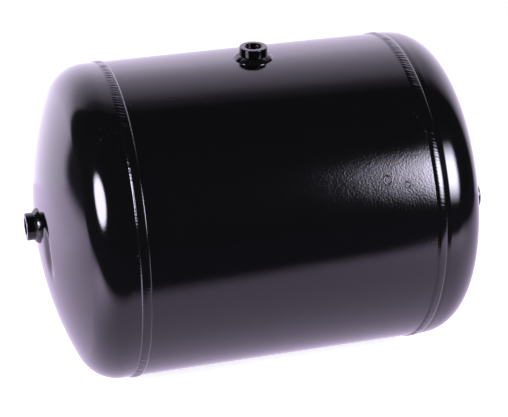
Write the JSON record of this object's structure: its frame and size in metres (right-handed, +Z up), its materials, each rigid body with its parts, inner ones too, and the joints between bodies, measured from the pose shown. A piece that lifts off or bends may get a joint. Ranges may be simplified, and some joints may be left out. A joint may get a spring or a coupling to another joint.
{
  "type": "horizontal pressure tank",
  "caption": "Horizontal steel air reservoir: rolled shell, dished ends, wide girth welds and welded threaded bosses, in gloss black paint.",
  "frame": {"origin": "on the floor under the middle of the shell, below the tank's axis", "axes": "+X along the tank's axis to the end with the off-centre boss, +Y to the back, +Z up through the top boss"},
  "size_m": [0.581, 0.3994, 0.4122],
  "materials": {
    "black_paint": "gloss black paint with light orange peel",
    "painted_weld": "gloss black paint over weld ripples",
    "boss_paint": "gloss black paint, worn to bare steel at the thread"
  },
  "bodies": {
    "root": {"shell": "black_paint", "shell_seam_weld": "painted_weld", "left_head": "black_paint", "right_head": "black_paint", "left_girth_weld": "painted_weld", "right_girth_weld": "painted_weld", "top_boss": "boss_paint", "left_boss": "boss_paint", "right_boss": "boss_paint", "top_boss_weld": "painted_weld", "left_boss_weld": "painted_weld", "right_boss_weld": "painted_weld"}
  },
  "joints": []
}
